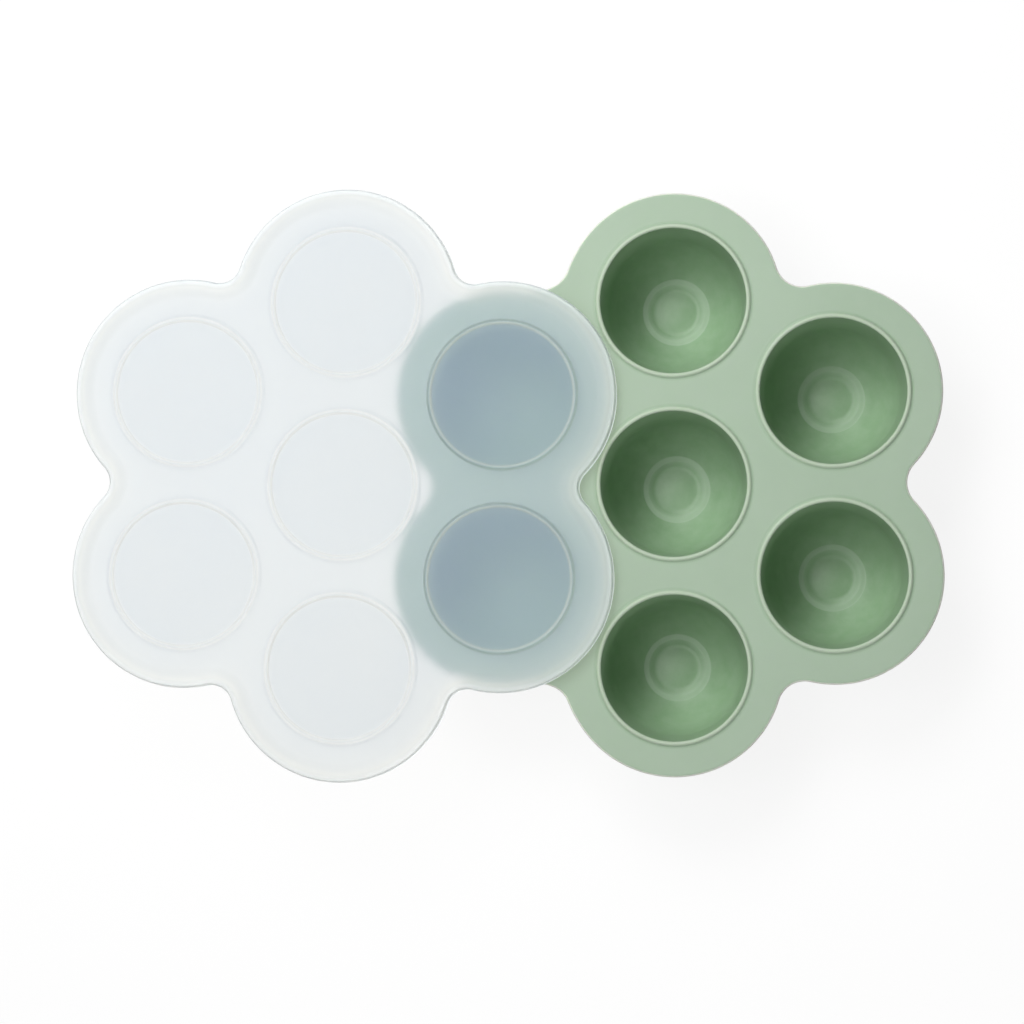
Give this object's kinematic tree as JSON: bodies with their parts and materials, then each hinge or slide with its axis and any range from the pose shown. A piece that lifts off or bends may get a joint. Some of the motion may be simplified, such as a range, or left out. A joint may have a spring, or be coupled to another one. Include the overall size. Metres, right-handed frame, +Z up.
{
  "type": "freezer tray",
  "caption": "Soft lobed tray of round freezing cups with raised lips, and a translucent flat lid of the same outline set down half off it.",
  "frame": {"origin": "underside of the centre cup's foot, where it stands on a table", "axes": "+Z up, +Y from the centre cup to an outer cup, +X away from the lid"},
  "size_m": [0.3138, 0.214, 0.0483],
  "materials": {
    "silicone": "matt sage-green silicone",
    "lid_plastic": "translucent milky plastic with a soft sheen"
  },
  "bodies": {
    "tray": {"silicone_tray": "silicone"},
    "lid": {"lid": "lid_plastic"}
  },
  "joints": [
    {"name": "lid_lift", "type": "slide", "parent": "tray", "child": "lid", "axis": [0, 0, 1], "range_m": [0, 0.08]}
  ]
}
